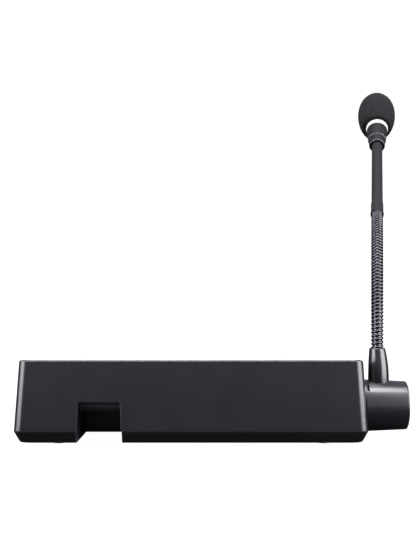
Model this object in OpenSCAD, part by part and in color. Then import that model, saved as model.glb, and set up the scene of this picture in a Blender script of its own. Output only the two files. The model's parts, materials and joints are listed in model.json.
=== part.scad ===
// Desk console with a side barrel that carries a gooseneck microphone.
// Millimetres. +X is to the right seen from behind, +Y points to the user, +Z is up.
// The origin is on the desk, under the middle of the whole object.
// The parts are drawn with x = 0 at the middle of the console and y = 0 at its
// rear wall, and on_desk() moves them to the origin.

/* [Console] */
// Width of the console at the seam
console_w = 214.7; // [205:0.1:230]
// Depth of the console at the seam
console_d = 155; // [150:1:175]
// Height of the rear edge of the top
rear_h = 52.6; // [50:0.1:56]
// Height of the front edge of the top
front_h = 23; // [22:0.5:27]
// Height of the seam between the cover and the pan
seam_z = 9.7; // [9.5:0.1:11]
// Draft of the walls, in degrees
draft = 3.6; // [3:0.1:5]
// Thickness of the cover
wall = 2.4; // [2.2:0.1:2.6]
// Radius of the upright corners
corner_r = 5.5; // [4.5:0.5:7]
// Radius of the edge round the top
edge_r = 1.2; // [0.8:0.2:1.6]

/* [Bottom pan] */
// Height of the pan's underside above the desk
pan_z = 2.1; // [1.8:0.1:3]
// How far the pan's floor is inside the seam
pan_inset = 3.3; // [3:0.1:5]
// Diameter of a foot
foot_d = 9; // [8:0.5:12]
// Distance of the feet from the middle of the console
foot_x = 81.7; // [76:0.1:84]

/* [Cable bay] */
// Left and right side of the notch in the rear wall
notch_x = [-69.4, -41.7]; // [-80:0.1:-30]
// Height of the top of the notch
notch_top = 27.1; // [25:0.1:28]
// Depth of the bay
bay_d = 47; // [44:1:50]
// Right side of the bay behind the notch
bay_right = -12; // [-14:1:-8]
// Height of the bay's flat ceiling
bay_h = 19; // [18.6:0.2:20]

/* [Keys] */
// How far a key stands above the top
key_up = 1.8; // [1.2:0.1:2.4]
// Travel of a key
travel = 1; // [0.6:0.1:1]
// Gap round a key
key_gap = 0.35; // [0.3:0.05:0.5]
// Size of a zone key
zone_size = [28, 11]; // [10:1:30]
// Size of the talk key
talk_size = [46, 24]; // [20:1:48]
// Size of the chime, all-zones and reset keys
small_size = [26, 13]; // [10:1:30]

/* [Barrel] */
// Radius at the console
barrel_r = 15.95; // [15:0.05:17]
// Radius at the outer end
barrel_end_r = 14.85; // [14:0.05:15.5]
// Distance from the seam to the outer end
barrel_out = 25.65; // [24:0.05:30]
// Distance of its axis from the rear wall
barrel_y = 20; // [19:0.5:22]
// Height of its axis
barrel_z = 22.9; // [22:0.1:24]

/* [Gooseneck] */
// Distance of the gooseneck from the console's seam
neck_out = 7.75; // [7.7:0.05:12]
// Height of the top of the boot
boot_top = 58.5; // [56:0.1:62]
// Outer radius of the gooseneck
neck_r = 3.85; // [3.8:0.05:4]
// Distance between two bending points
link_len = 8.5; // [8.2:0.1:9]
// Lean of each link from the vertical, and last of the tube, in degrees
lean = [8, 16, 22, 26, 29, 32, 35, 38, 42, 47, 51, 53.5]; // [0:0.5:60]
// Direction of the lean, outwards from straight ahead, in degrees
neck_yaw = 8.85; // [0:0.05:12]

/* [Head] */
// Distance from the gooseneck's end to the head holder
holder_at = 91; // [80:0.5:100]
// Radius of the upper tube
tube_r = 3.8; // [3.6:0.05:3.8]
// Largest radius of the windscreen
foam_r = 14; // [13:0.1:16]
// Length of the windscreen behind and in front of its widest place
foam_half = [20.1, 24.9]; // [18:0.1:28]

/* [Hidden] */
$fn = 64;
key_count = 8;
link_count = 11;

// From the console's rear wall to the middle of the whole object
to_desk = [-23.4, -101, 0];

// The sloping top, where v is the distance down the slope from the rear edge
rear_top_y = (rear_h - seam_z) * tan(draft);
front_top_y = console_d - (front_h - seam_z) * tan(draft);
slope = atan((rear_h - front_h) / (front_top_y - rear_top_y));
top_len = (front_top_y - rear_top_y) / cos(slope);

// Key panel on the top, its keys, labels and lamps
panel_v = 51;
panel_size = [192, 76];
panel_t = 1;
column_u = [66, 22, -22, -66];
row_v = [38, 75];
label_up = 14;
label_size = [180, 9.4];
lamp_r = 1.5;
zone_u = -3;
lamp_u = 16;
talk_at = [-68, 117];
small_at = [[-14, 121], [22, 121], [58, 121]];
status_up = 15;

// Board under the top, and the screws
board_drop = 11;
board_t = 1.6;
board_size = [172, 126];
board_v = 79;
board_posts = [[80, 20], [-80, 20], [80, 137], [-80, 137]];
header_at = [74, 36];
boss_r = 3.6;
screw_r = 1.5;
head_r = 2.8;
pan_floor = 2;
bevel_top = seam_z - 0.8;
boss_z = 6.4;
bosses = [[-94, 10], [-94, 78], [-94, 144], [94, 50], [94, 97], [94, 144]];
feet_y = [19, 136];

// Jack in the bay
jack_x = -26;
jack_size = [16, 18, 13.4];
plug_hole = [11.8, 12, 7.6];
jack_z = 4.6;

// Barrel, saddle and boot
side_x = console_w / 2;
barrel_end = side_x + barrel_out;
neck_x = side_x + neck_out;
neck_foot = [neck_x, barrel_y, boot_top];
saddle_half = 31;
wing_half = 50;
wing_end = side_x + 0.9;
web_end = side_x + 1.9;
pillar_r = 5.6;
shell_t = 2.4;
boot_base_r = 6.45;
boot_top_r = 4.95;
shank_r = 3;
nut_z = 25.5;

lead_r = 1.4;
lead_sides = 8;
// Route of the microphone's lead, from the gooseneck to the plug on the board
lead_route = [[115.1, 20, 24.4], [115, 20, 21.5], [113.5, 20, 19.6], [111, 20, 19.4],
              [108, 20, 20.6], [104, 20, 22.4], [99, 21, 23], [94, 24, 24.2],
              [90, 29, 26.4], [87, 33.5, 28.4], [84, 36.5, 29.6], [81, 38, 30],
              [78.1, 38, 30]];

// Ball joints between the gooseneck's links
ball_r = 3;
socket_r = 3.3;
rim = 1;
groove = 0.45;

// Positions along the tube, from the end of the gooseneck
tube_end = holder_at + 11;
holder_step = holder_at + 8.6;
ring_at = holder_at + 22.1;
ring_end = ring_at + 3.9;
ring_r = [7.6, 8.25];
grille_r = 6.1;
grille_end = ring_end + 20;
foam_wide = ring_end + foam_half[0];
foam_rear = foam_half[0] + 10.1;
foam_aside = 0.4;

shell_c = "#35343a";
pan_c = "#17171b";
key_c = "#8d8f96";
board_c = "#1f5a3a";
steel_c = "#a9abb0";
wire_c = "#3c3c42";
tube_c = "#48474c";

module on_desk() {
    translate(to_desk) children();
}

// A place on the sloping top: z = 0 on its surface, +Y down the slope
module on_top(at) {
    translate([at[0], rear_top_y + at[1] * cos(slope), rear_h - at[1] * sin(slope)])
        rotate([-slope, 0, 0])
            children();
}

module on_barrel() {
    translate([0, barrel_y, barrel_z])
        rotate([0, 90, 0])
            children();
}

// Everything on the console's side of the wall that the barrel stands against
module inside_wall() {
    translate([side_x, 0, seam_z])
        rotate([0, -draft, 0])
            translate([-60, -30, -40])
                cube([60, 120, 100]);
}

module rounded(size, r) {
    square([size[0] - 2 * r, size[1]], center = true);
    square([size[0], size[1] - 2 * r], center = true);
    for (sx = [-1, 1], sy = [-1, 1])
        translate([sx * (size[0] / 2 - r), sy * (size[1] / 2 - r)])
            circle(r);
}

module plate(size, r, low, high) {
    translate([0, 0, low])
        linear_extrude(high - low)
            rounded(size, r);
}

// ---- Console -------------------------------------------------------------

function wall_in(z) = (z - seam_z) * tan(draft);

module puck(r, edge) {
    for (a = [0:30:90])
        translate([0, 0, edge * (sin(a) - 1) - 0.01])
            cylinder(r = r - edge * (1 - cos(a)), h = 0.01);
}

// The console's outside, moved in by gap, from height low up to the top
module console_block(gap, low) {
    r = corner_r - gap;
    edge = max(edge_r - gap, 0.3);
    hull() {
        for (sx = [-1, 1]) {
            for (y = [wall_in(low) + gap + r, console_d - wall_in(low) - gap - r])
                translate([sx * (side_x - wall_in(low) - gap - r), y, low])
                    cylinder(r = r, h = 0.01);
            on_top([sx * (side_x - wall_in(rear_h) - gap - r), gap + r, 0])
                translate([0, 0, -gap])
                    puck(r, edge);
            on_top([sx * (side_x - wall_in(front_h) - gap - r), top_len - gap - r, 0])
                translate([0, 0, -gap])
                    puck(r, edge);
        }
    }
}

module notch_cut() {
    r = 1.5;
    lean_in = 1.2;
    low = [notch_x[0], notch_x[1]];
    high = [low[0] + lean_in, low[1] - lean_in];
    translate([0, wall + 4, 0])
        rotate([90, 0, 0])
            linear_extrude(wall + 10) {
                polygon([[low[0], 0], [low[1], 0], [high[1], notch_top - r],
                         [high[1] - r, notch_top], [high[0] + r, notch_top],
                         [high[0], notch_top - r]]);
                for (x = [high[0] + r, high[1] - r])
                    translate([x, notch_top - r])
                        circle(r);
            }
}

module key_holes() {
    for (i = [1:key_count])
        on_top(zone_at(i))
            plate(zone_size + 2 * [key_gap, key_gap], 1.2, -wall - 2, 4);
    on_top(talk_at)
        plate(talk_size + 2 * [key_gap, key_gap], 2, -wall - 2, 4);
    for (at = small_at)
        on_top(at)
            plate(small_size + 2 * [key_gap, key_gap], 1.2, -wall - 2, 4);
}

function column(i) = column_u[(i - 1) % 4];
function row(i) = row_v[floor((i - 1) / 4)];
function zone_at(i) = [column(i) + zone_u, row(i)];
function lamp_at(i) = [column(i) + lamp_u, row(i)];

module lamp_holes() {
    for (i = [1:key_count])
        on_top(lamp_at(i))
            translate([0, 0, -wall - 2])
                cylinder(r = lamp_r + 0.05, h = 8);
    for (at = small_at)
        on_top([at[0], at[1] - status_up])
            translate([0, 0, -wall - 2])
                cylinder(r = lamp_r + 0.05, h = 8);
}

module top_cover() {
    color(shell_c) on_desk() difference() {
        union() {
            difference() {
                console_block(0, seam_z);
                console_block(wall, seam_z - 0.02);
            }
            intersection() {
                console_block(0.5, boss_z);
                union() {
                    for (at = bosses)
                        translate([at[0], at[1], boss_z])
                            cylinder(r = boss_r, h = 60);
                    for (at = board_posts)
                        on_top(at)
                            translate([0, 0, -board_drop])
                                cylinder(r = boss_r, h = board_drop);
                }
            }
        }
        on_top([0, panel_v])
            plate(panel_size, 3, -panel_t, 4);
        for (v = row_v)
            on_top([0, v - label_up])
                plate(label_size, 1, -panel_t - 0.35, 4);
        notch_cut();
        key_holes();
        lamp_holes();
        for (at = bosses)
            translate([at[0], at[1], boss_z - 1])
                cylinder(r = screw_r + 0.1, h = 10);
        for (at = board_posts)
            on_top(at)
                translate([0, 0, -board_drop - 1])
                    cylinder(r = screw_r + 0.1, h = 7);
        on_barrel()
            translate([0, 0, side_x - 12])
                cylinder(r = 5, h = 20);
        barrel_screw_places()
            cylinder(r = screw_r + 0.1, h = 16, center = true);
    }
}

// The bay's hollow, grown by g: an outline in side view and one from above
module bay_space(g, rear) {
    intersection() {
        translate([-100, 0, 0])
            rotate([90, 0, 90])
                linear_extrude(120)
                    polygon([[rear, -1], [rear + 2, notch_top + g - 0.45], [17.6, bay_h + g],
                             [bay_d + g, bay_h + g], [bay_d + g, -1]]);
        translate([0, 0, -1])
            linear_extrude(60)
                polygon([[notch_x[0] - g, rear - 3], [notch_x[0] + 1.2 - g, bay_d + g],
                         [bay_right + g, bay_d + g], [bay_right + g, 12 - g],
                         [notch_x[1] + g, 12 - g], [notch_x[1] + g, rear - 3]]);
    }
}

module bay_hollow() {
    intersection() {
        union() {
            bay_space(0, -1);
            translate([notch_x[0], -1, -1])
                cube([notch_x[1] - notch_x[0], 6, notch_top]);
        }
        translate([-100, -5, -1])
            cube([120, 60, notch_top + 1]);
    }
}

// The pan's outside: full size at the seam, with a bevel below it
module pan_block(inset, low, high) {
    layers = [[0, high], [0, bevel_top], [pan_inset * 0.84, low + 0.9],
              [pan_inset, low + 0.3], [pan_inset + 1.3, low]];
    hull()
        for (layer = layers, sx = [-1, 1], back = [0, 1]) {
            edge = inset + layer[0] + corner_r;
            translate([sx * (side_x - edge), back ? console_d - edge : edge, layer[1]])
                cylinder(r = corner_r, h = 0.01, $fn = 32);
        }
}

module bottom_pan() {
    color(pan_c) on_desk() difference() {
        union() {
            difference() {
                pan_block(0, pan_z, seam_z - 0.01);
                pan_block(wall, pan_z + pan_floor, seam_z + 0.2);
            }
            intersection() {
                pan_block(0, pan_z, seam_z - 0.01);
                for (at = bosses)
                    translate([at[0], at[1], pan_z])
                        cylinder(r = 4.6, h = boss_z - pan_z);
            }
            difference() {
                bay_space(1.8, wall + 1.2);
                translate([-100, -10, -10])
                    cube([200, 100, 10 + pan_z + 0.3]);
            }
        }
        bay_hollow();
        translate([jack_x - jack_size[0] / 2 - 0.1, bay_d - 1, jack_z - 0.1])
            cube([jack_size[0] + 0.2, 4, jack_size[2] + 0.2]);
        for (at = bosses) {
            translate([at[0], at[1], pan_z - 1])
                cylinder(r = screw_r + 0.2, h = 10);
            translate([at[0], at[1], pan_z - 1])
                cylinder(r = head_r + 0.2, h = 2.8);
        }
        feet_places()
            translate([0, 0, pan_z - 1])
                cylinder(d = foot_d + 0.2, h = 1.6);
    }
}

module feet_places() {
    for (sx = [-1, 1], y = feet_y)
        translate([sx * foot_x, y, 0])
            children();
}

module rubber_feet() {
    color("#b9b7c6") on_desk() feet_places() {
        cylinder(r1 = foot_d / 2 - 0.5, r2 = foot_d / 2, h = 0.5);
        translate([0, 0, 0.5])
            cylinder(d = foot_d, h = pan_z + 0.1);
    }
}

// A cross-head screw along +Z, with its head's outer face at z = 0
module screw(length, head) {
    difference() {
        union() {
            cylinder(r = head, h = 1.7);
            cylinder(r = screw_r, h = length);
        }
        for (a = [0, 90])
            rotate([0, 0, a])
                translate([-head * 0.6, -0.35, -1])
                    cube([head * 1.2, 0.7, 2]);
    }
}

module pan_screws() {
    color(steel_c) on_desk()
        for (at = bosses)
            translate([at[0], at[1], pan_z + 0.1])
                screw(9, head_r);
}

module ballast_plate() {
    color(steel_c) on_desk()
        translate([0, 103.5, 0])
            difference() {
                plate([160, 70], 4, pan_z + pan_floor + 0.02, pan_z + pan_floor + 3);
                for (x = [-70, 70], y = [-25, 25])
                    translate([x, y, 0])
                        cylinder(r = 2.2, h = 12);
            }
}

module main_board() {
    color(board_c) on_desk() difference() {
        on_top([0, board_v])
            plate(board_size, 2, -board_drop - board_t, -board_drop - 0.02);
        for (at = board_posts)
            on_top(at)
                translate([0, 0, -board_drop - 5])
                    cylinder(r = screw_r + 0.2, h = 8);
    }
}

module board_part(at, size) {
    on_top(at)
        translate([-size[0] / 2, -size[1] / 2, -board_drop - board_t - size[2] - 0.01])
            cube(size);
}

module board_parts() {
    color("#222226") on_desk() {
        board_part(header_at, [8, 10, 5]);
        board_part([20, 92], [14, 14, 1.6]);
        board_part([-12, 92], [10, 10, 1.4]);
        board_part([50, 90], [9, 6, 1.6]);
        board_part([-44, 90], [16, 13, 4]);
    }
    color("#3a3a48") on_desk()
        for (u = [-70, -60, -50])
            on_top([u, 70])
                translate([0, 0, -board_drop - board_t - 8.01])
                    cylinder(r = 3.2, h = 8);
}

module board_screws() {
    color(steel_c) on_desk()
        for (at = board_posts)
            on_top(at)
                translate([0, 0, -board_drop - board_t - 1.75])
                    screw(7, head_r);
}

module switch_on(at) {
    on_top(at) {
        translate([-3, -3, -board_drop])
            cube([6, 6, 3.4]);
        translate([0, 0, -board_drop + 3.4])
            cylinder(r = 1.7, h = 0.9);
    }
}

module key_switches() {
    color("#2b2b30") on_desk() {
        for (i = [1:key_count])
            switch_on(zone_at(i));
        for (sx = [-12, 12])
            switch_on([talk_at[0] + sx, talk_at[1]]);
        for (at = small_at)
            switch_on(at);
    }
}

module network_jack() {
    color("#26262a") on_desk()
        translate([jack_x - jack_size[0] / 2, bay_d, jack_z])
            difference() {
                cube(jack_size);
                translate([(jack_size[0] - plug_hole[0]) / 2, -1, 2])
                    cube([plug_hole[0], plug_hole[1] + 1, plug_hole[2]]);
                translate([(jack_size[0] - 5) / 2, -1, 2])
                    cube([5, plug_hole[1] + 1, plug_hole[2] + 2]);
            }
}

module jack_board() {
    color(board_c) on_desk()
        translate([jack_x - 16, bay_d + jack_size[1] + 0.02, pan_z + pan_floor + 0.02])
            cube([32, 1.6, 20]);
}

module key_panel() {
    color("#222227") on_desk() difference() {
        on_top([0, panel_v])
            plate([panel_size[0] - 0.3, panel_size[1] - 0.3], 3, -panel_t + 0.02, 0.02);
        for (v = row_v)
            on_top([0, v - label_up])
                plate([label_size[0] + 0.1, label_size[1] + 0.1], 1, -4, 4);
        key_holes();
        lamp_holes();
    }
}

module label_strips() {
    color("#e6e5df") on_desk()
        for (v = row_v)
            on_top([0, v - label_up])
                plate([label_size[0] - 0.6, label_size[1] - 0.6], 0.8, -panel_t - 0.33, -panel_t);
}

module label_windows() {
    color("#9fb0ba", 0.4) on_desk()
        for (v = row_v)
            on_top([0, v - label_up])
                plate([label_size[0] - 0.1, label_size[1] - 0.1], 1, -panel_t + 0.02, -0.1);
}

module zone_lamps() {
    color("#5ec46a") on_desk()
        for (i = [1:key_count])
            on_top(lamp_at(i))
                translate([0, 0, -wall - 1])
                    cylinder(r = lamp_r, h = wall + 1.3);
}

module status_lamps() {
    color("#d2563c") on_desk()
        for (at = small_at)
            on_top([at[0], at[1] - status_up])
                translate([0, 0, -wall - 1])
                    cylinder(r = lamp_r, h = wall + 1.3);
}

// A key cap with a flange that holds it under the cover, and a foot over each switch
module key_at(at, size, r, feet) {
    under = -wall - 0.15;
    color(key_c) on_desk() on_top(at) {
        plate(size, r, under - 0.5, key_up);
        plate(size + [2.4, 2.4], r, under - 1.2, under);
        for (x = feet)
            translate([x, 0, -board_drop + 4.5 + travel])
                cylinder(r = 1.6, h = board_drop - 4.5 - travel + under - 1);
    }
}

module zone_key(i) {
    key_at(zone_at(i), zone_size, 1.2, [0]);
}

module talk_key() {
    key_at(talk_at, talk_size, 2, [-12, 12]);
}

module chime_key() {
    key_at(small_at[0], small_size, 1.2, [0]);
}

module all_zones_key() {
    key_at(small_at[1], small_size, 1.2, [0]);
}

module reset_key() {
    key_at(small_at[2], small_size, 1.2, [0]);
}

// ---- Barrel, saddle and boot ---------------------------------------------

function barrel_rad(x) =
    barrel_r + (barrel_end_r - barrel_r) * (x - side_x) / barrel_out;

// Outline of the barrel's wall from radius inner outwards, as radius and distance along X
function barrel_line(x0, x1, inner) =
    [[inner, x0], [barrel_rad(x0), x0], [barrel_rad(x1 - 1), x1 - 1],
     [barrel_rad(x1) - 0.3, x1 - 0.3], [barrel_rad(x1) - 1, x1], [inner, x1]];

module barrel_part(half, x0, x1, inner) {
    rotate([0, 0, 180 - half])
        rotate_extrude(angle = 2 * half)
            polygon(barrel_line(x0, x1, inner));
}

module barrel_screw_places() {
    for (a = [60, 180, 300])
        on_barrel()
            rotate([0, 0, a])
                translate([9.2, 0, side_x])
                    children();
}

module slot_cut(half, deep, end) {
    rotate([0, 0, 180 - half])
        rotate_extrude(angle = 2 * half)
            polygon([[deep, side_x - 10], [20, side_x - 10], [20, end], [deep, end]]);
}

module mic_barrel() {
    inner = barrel_end_r - shell_t;
    color(shell_c) on_desk() difference() {
        on_barrel() difference() {
            rotate_extrude()
                polygon(concat([[0, side_x - 6]],
                               barrel_line(side_x - 6, barrel_end, inner),
                               [[inner, web_end], [0, web_end]]));
            slot_cut(saddle_half + 0.4, inner - 1, barrel_end + 1);
            slot_cut(wing_half + 0.4, inner - 0.5, wing_end + 0.5);
            translate([0, 0, side_x - 10])
                cylinder(r = 4.5, h = 30);
        }
        inside_wall();
        barrel_screw_places()
            cylinder(r = screw_r + 0.1, h = 16, center = true);
    }
}

module barrel_cap() {
    inner = barrel_end_r - shell_t;
    color(shell_c) on_desk() on_barrel()
        translate([0, 0, barrel_end - 2.5])
            cylinder(r = inner - 0.1, h = 2.3);
}

module barrel_screws() {
    color(steel_c) on_desk()
        barrel_screw_places()
            translate([0, 0, -6.4])
                screw(8.2, head_r);
}

module neck_saddle() {
    inner = barrel_end_r - shell_t + 0.1;
    color(shell_c) on_desk() difference() {
        union() {
            difference() {
                on_barrel() {
                    barrel_part(saddle_half, side_x - 6, barrel_end, inner);
                    barrel_part(wing_half, side_x - 6, wing_end, inner);
                }
                inside_wall();
            }
            translate([neck_x, barrel_y, nut_z + 4.1])
                cylinder(r = pillar_r, h = barrel_z + inner + 0.4 - nut_z - 4.1);
        }
        on_barrel()
            translate([0, 0, side_x - 20])
                cylinder(r = 4.5, h = 24.5);
        translate([neck_x, barrel_y, 0])
            cylinder(r = shank_r + 0.1, h = 60);
    }
}

function boot_rad(t) = boot_base_r - (boot_base_r - boot_top_r) * pow(t, 2.2);

module neck_boot() {
    low = barrel_z + barrel_end_r - 2;
    steps = 14;
    high = boot_top - 0.9;
    color(shell_c) on_desk() difference() {
        translate([neck_x, barrel_y, 0])
            rotate_extrude()
                polygon(concat(
                    [[shank_r + 0.1, low]],
                    [for (i = [0:steps]) [boot_rad(i / steps), low + (high - low) * i / steps]],
                    [[boot_top_r - 0.3, boot_top - 0.25], [boot_top_r - 0.9, boot_top],
                     [shank_r + 0.1, boot_top]]));
        on_barrel()
            rotate_extrude()
                polygon(barrel_line(side_x - 6, barrel_end, 0));
    }
}

module neck_stub() {
    top = boot_top + link_len / 2;
    color(steel_c) on_desk() translate([neck_x, barrel_y, 0]) {
        translate([0, 0, nut_z - 1])
            cylinder(r = shank_r, h = boot_top - nut_z + 1.5);
        translate([0, 0, boot_top + 0.01])
            cylinder(r = neck_r, h = link_len / 2 - rim - 0.01);
        translate([0, 0, top])
            sphere(ball_r);
    }
}

module neck_nut() {
    color(steel_c) on_desk()
        translate([neck_x, barrel_y, nut_z])
            difference() {
                rotate([0, 0, 30])
                    cylinder(r = 5.8, h = 4, $fn = 6);
                translate([0, 0, -1])
                    cylinder(r = shank_r + 0.05, h = 6);
            }
}

// ---- Leads ---------------------------------------------------------------

function unit(v) = v / norm(v);
function route_dir(p, i) =
    unit(p[min(i + 1, len(p) - 1)] - p[max(i - 1, 0)]);

module sweep(p, r, n) {
    rings = [for (i = [0:len(p) - 1])
        let (d = i == 0 ? [0, 0, -1] : i == len(p) - 1 ? [-1, 0, 0] : route_dir(p, i),
             side = unit(cross(d, [0.02, 1, 0.01])), up = cross(side, d))
        for (k = [0:n - 1])
            p[i] + r * (cos(360 * k / n) * side + sin(360 * k / n) * up)];
    faces = concat(
        [[for (k = [0:n - 1]) k]],
        [[for (k = [n - 1:-1:0]) (len(p) - 1) * n + k]],
        [for (i = [0:len(p) - 2], k = [0:n - 1])
            [i * n + k, (i + 1) * n + k, (i + 1) * n + (k + 1) % n]],
        [for (i = [0:len(p) - 2], k = [0:n - 1])
            [i * n + k, (i + 1) * n + (k + 1) % n, i * n + (k + 1) % n]]);
    polyhedron(rings, faces);
}

module mic_lead() {
    color("#1b1b1e") on_desk()
        sweep(lead_route, lead_r, lead_sides);
}

// ---- Gooseneck -----------------------------------------------------------

function lean_of(k) = k == 0 ? 0 : lean[k - 1];
function along(k) =
    [sin(lean_of(k)) * sin(neck_yaw), sin(lean_of(k)) * cos(neck_yaw), cos(lean_of(k))];
// Bending point k, from 1 at the boot to 12 below the sleeve
function joint_at(k) =
    k == 1 ? neck_foot + along(0) * link_len / 2
           : joint_at(k - 1) + along(k - 1) * link_len;

// z = 0 at bending point k, +Z along the link above it
module on_link(k) {
    translate(joint_at(k))
        rotate([0, 0, -neck_yaw])
            rotate([-lean_of(k), 0, 0])
                children();
}

// The turns of the spiral, as ridges round a stretch of the gooseneck
function ridges(low, high, n) =
    [for (i = [0:n - 1], q = [[0.15, 0], [0.35, 1], [0.65, 1], [0.85, 0]])
        [neck_r - groove * (1 - q[1]), low + (high - low) * (i + q[0]) / n]];

module neck_tube(low, high, n) {
    rotate_extrude()
        polygon(concat([[0, low], [neck_r - groove, low]], ridges(low, high, n),
                       [[neck_r - groove, high], [0, high]]));
}

module neck_link(k) {
    color(wire_c) on_desk() on_link(k) {
        difference() {
            neck_tube(rim, link_len - rim, 3);
            sphere(socket_r);
        }
        translate([0, 0, link_len])
            difference() {
                sphere(ball_r);
                translate([0, 0, -rim - 5])
                    cylinder(r = 5, h = 5);
            }
    }
}

module neck_end() {
    color(wire_c) on_desk() on_link(link_count + 1)
        difference() {
            neck_tube(rim, link_len / 2 + 5, 3);
            sphere(socket_r);
        }
}

// ---- Head ----------------------------------------------------------------

// z = 0 at the end of the gooseneck, +Z along the tube
module on_head() {
    on_link(link_count + 1)
        translate([0, 0, link_len / 2])
            children();
}

module turned(points) {
    on_head()
        rotate_extrude()
            polygon(points);
}

module neck_sleeve() {
    color(tube_c) on_desk()
        turned([[neck_r + 0.05, 0], [4.2, 0], [4.42, 0.3], [4.42, 1.6], [4.15, 3.4],
                [4.15, 12.7], [4, 13], [neck_r + 0.05, 13]]);
}

module upper_tube() {
    color(tube_c) on_desk()
        turned([[tube_r - 0.8, 5.1], [tube_r, 5.1], [tube_r, tube_end],
                [tube_r - 0.8, tube_end]]);
}

module head_lead() {
    color("#1b1b1e") on_desk() on_head()
        translate([0, 0, 5.05])
            cylinder(r = 1, h = ring_end + 1.4 - 5.05);
}

module head_holder() {
    bore = tube_r + 0.85;
    color(shell_c) on_desk()
        turned([[bore, holder_at], [5.4, holder_at], [5.75, holder_at + 0.5],
                [6.2, holder_step - 0.3], [6.65, holder_step], [ring_r[0], ring_at],
                [6.3, ring_at], [6.3, holder_at + 14], [bore, holder_at + 14]]);
}

module holder_bush() {
    color("#1d1d20") on_desk()
        turned([[tube_r + 0.05, holder_at + 3], [tube_r + 0.8, holder_at + 3],
                [tube_r + 0.8, holder_at + 13], [tube_r + 0.05, holder_at + 13]]);
}

module light_ring() {
    color("#f4f4f2") on_desk()
        turned([[grille_r + 0.1, ring_at + 0.01], [ring_r[0], ring_at + 0.01],
                [ring_r[1], ring_end - 0.2], [ring_r[1], ring_end], [grille_r + 0.1, ring_end]]);
}

module ring_board() {
    color(board_c) on_desk()
        turned([[3.9, ring_at - 5], [6.2, ring_at - 5], [6.2, ring_at - 3.8],
                [3.9, ring_at - 3.8]]);
}

module capsule_boot() {
    color("#1d1d20") on_desk()
        turned([[4.9, ring_end], [grille_r - 0.55, ring_end],
                [grille_r - 0.55, ring_end + 9], [4.9, ring_end + 9]]);
}

module capsule() {
    color(steel_c) on_desk()
        turned([[0, ring_end + 1.5], [4.85, ring_end + 1.5], [4.85, ring_end + 7.5],
                [0, ring_end + 7.5]]);
}

module capsule_grille() {
    r = grille_r;
    low = ring_at + 0.5;
    color("#6b6c70") on_desk()
        turned([[r - 0.5, low], [r, low], [r, grille_end - 2], [r - 0.6, grille_end - 0.6],
                [r - 2, grille_end], [0, grille_end], [0, grille_end - 0.5],
                [r - 2.2, grille_end - 0.5], [r - 1, grille_end - 1], [r - 0.5, grille_end - 2.2]]);
}

function foam_rad(s, half, power) =
    foam_r * pow(1 - pow(abs(s) / half, power), 1 / power);

module windscreen() {
    steps = 14;
    rear = ring_end + 0.3 - foam_wide;
    color("#3e3d41") on_desk() on_head() difference() {
        translate([-foam_aside, 0, foam_wide])
            rotate_extrude()
                polygon(concat(
                    [[0, rear]],
                    [for (i = [0:steps]) let (s = rear * (1 - i / steps))
                        [foam_rad(s, foam_rear, 2), s]],
                    [for (i = [1:steps]) let (s = foam_half[1] * sin(90 * i / steps))
                        [foam_rad(s, foam_half[1], 2.28), s]]));
        translate([0, 0, ring_end])
            cylinder(r = grille_r + 0.3, h = grille_end + 0.6 - ring_end);
    }
}

top_cover();
bottom_pan();
rubber_feet();
pan_screws();
ballast_plate();
main_board();
board_parts();
board_screws();
key_switches();
network_jack();
jack_board();
key_panel();
label_strips();
label_windows();
zone_lamps();
status_lamps();
for (i = [1:key_count])
    zone_key(i);
talk_key();
chime_key();
all_zones_key();
reset_key();
mic_barrel();
barrel_cap();
barrel_screws();
neck_saddle();
neck_boot();
neck_stub();
neck_nut();
mic_lead();
for (i = [1:link_count])
    neck_link(i);
neck_end();
neck_sleeve();
upper_tube();
head_lead();
head_holder();
holder_bush();
light_ring();
ring_board();
capsule_boot();
capsule();
capsule_grille();
windscreen();
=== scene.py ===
"""Looks of the desk paging console with its gooseneck microphone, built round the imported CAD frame."""

import json
import math

import bmesh
import bpy
from mathutils import Matrix, Vector, noise
from mathutils.bvhtree import BVHTree


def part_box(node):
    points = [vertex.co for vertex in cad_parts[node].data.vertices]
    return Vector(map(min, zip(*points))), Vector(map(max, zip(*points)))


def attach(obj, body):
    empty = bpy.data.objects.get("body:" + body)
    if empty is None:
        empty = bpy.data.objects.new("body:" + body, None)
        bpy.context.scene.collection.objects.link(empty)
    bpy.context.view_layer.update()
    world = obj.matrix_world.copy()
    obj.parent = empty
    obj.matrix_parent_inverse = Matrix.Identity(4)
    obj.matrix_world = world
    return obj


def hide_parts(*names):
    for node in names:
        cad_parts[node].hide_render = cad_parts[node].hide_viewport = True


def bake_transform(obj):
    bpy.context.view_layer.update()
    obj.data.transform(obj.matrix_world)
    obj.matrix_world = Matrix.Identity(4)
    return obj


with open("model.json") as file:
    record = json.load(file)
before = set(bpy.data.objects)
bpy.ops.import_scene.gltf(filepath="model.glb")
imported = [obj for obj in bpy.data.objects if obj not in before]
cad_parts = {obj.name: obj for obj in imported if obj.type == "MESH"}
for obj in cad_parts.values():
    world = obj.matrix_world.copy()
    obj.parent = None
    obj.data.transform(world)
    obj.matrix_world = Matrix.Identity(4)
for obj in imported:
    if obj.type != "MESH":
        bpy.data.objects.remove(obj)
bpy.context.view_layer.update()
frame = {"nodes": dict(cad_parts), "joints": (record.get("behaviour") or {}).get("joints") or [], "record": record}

MM = 0.001
UP = Vector((0, 0, 1))

# ---- Places, from the frame ----------------------------------------------

joints = {j["name"]: j for j in frame["joints"]}
cover_low, cover_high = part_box("top_cover")
feet_low, feet_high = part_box("rubber_feet")
console_mid = (cover_low.x + cover_high.x) / 2
rear_wall = cover_low.y
press_dir = Vector(joints["talk_press"]["axis"]).normalized()

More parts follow.
